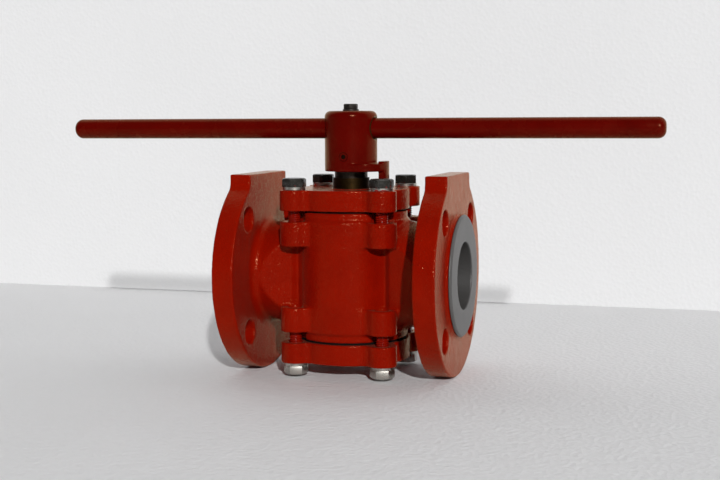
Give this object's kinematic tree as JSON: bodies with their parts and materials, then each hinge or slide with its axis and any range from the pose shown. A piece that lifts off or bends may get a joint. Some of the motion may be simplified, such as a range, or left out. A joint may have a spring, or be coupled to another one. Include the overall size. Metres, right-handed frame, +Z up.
{
  "type": "plug valve",
  "caption": "Lined quarter-turn plug valve with flanged ends, bolted top and bottom covers and a double-ended bar handle on a hub with a stop leg.",
  "frame": {"origin": "Where the flow axis and the stem axis cross, at the middle of the plug's port.", "axes": "+X runs along the flow axis from the left flange to the right flange, +Z runs up the stem to the handle, -Y faces the viewer of the picture."},
  "size_m": [0.468, 0.1524, 0.2051],
  "materials": {
    "orange_enamel": "glossy orange enamel over a rough casting",
    "red_enamel": "glossy deep red enamel",
    "grey_lining": "moulded grey fluoropolymer lining",
    "stem_steel": "turned steel, oiled",
    "white_seal": "white fluoropolymer",
    "zinc_steel": "zinc plated steel",
    "dark_steel": "dark oiled steel",
    "bronze": "dull turned bronze",
    "black_gasket": "black sheet gasket"
  },
  "bodies": {
    "valve_body": {"body": "orange_enamel", "left_neck": "orange_enamel", "right_neck": "orange_enamel", "left_flange": "orange_enamel", "right_flange": "orange_enamel", "top_cover": "orange_enamel", "bottom_cover": "orange_enamel", "body_lining": "grey_lining", "lip_seal": "white_seal", "lower_lip_seal": "white_seal", "stem_packing": "white_seal", "trunnion_pad": "white_seal", "seal_plate": "zinc_steel", "thrust_ring": "zinc_steel", "lower_thrust_ring": "zinc_steel", "gland_bush": "bronze", "trunnion_bush": "bronze", "top_gasket": "black_gasket", "bottom_gasket": "black_gasket", "top_cover_bolts": "zinc_steel", "top_spring_washers": "zinc_steel", "bottom_cover_bolts": "zinc_steel", "bottom_spring_washers": "zinc_steel"},
    "plug_and_handle": {"plug_core": "stem_steel", "plug_lining": "grey_lining", "handle_hub": "red_enamel", "handle_bar": "red_enamel", "bar_bolt": "dark_steel", "bar_bolt_washer": "dark_steel", "hub_set_screw": "dark_steel"}
  },
  "joints": [
    {"name": "handle_turn", "type": "hinge", "parent": "valve_body", "child": "plug_and_handle", "pos_m": [0, 0, 0], "axis": [0, 0, 1], "range_deg": [-90, 0]}
  ]
}
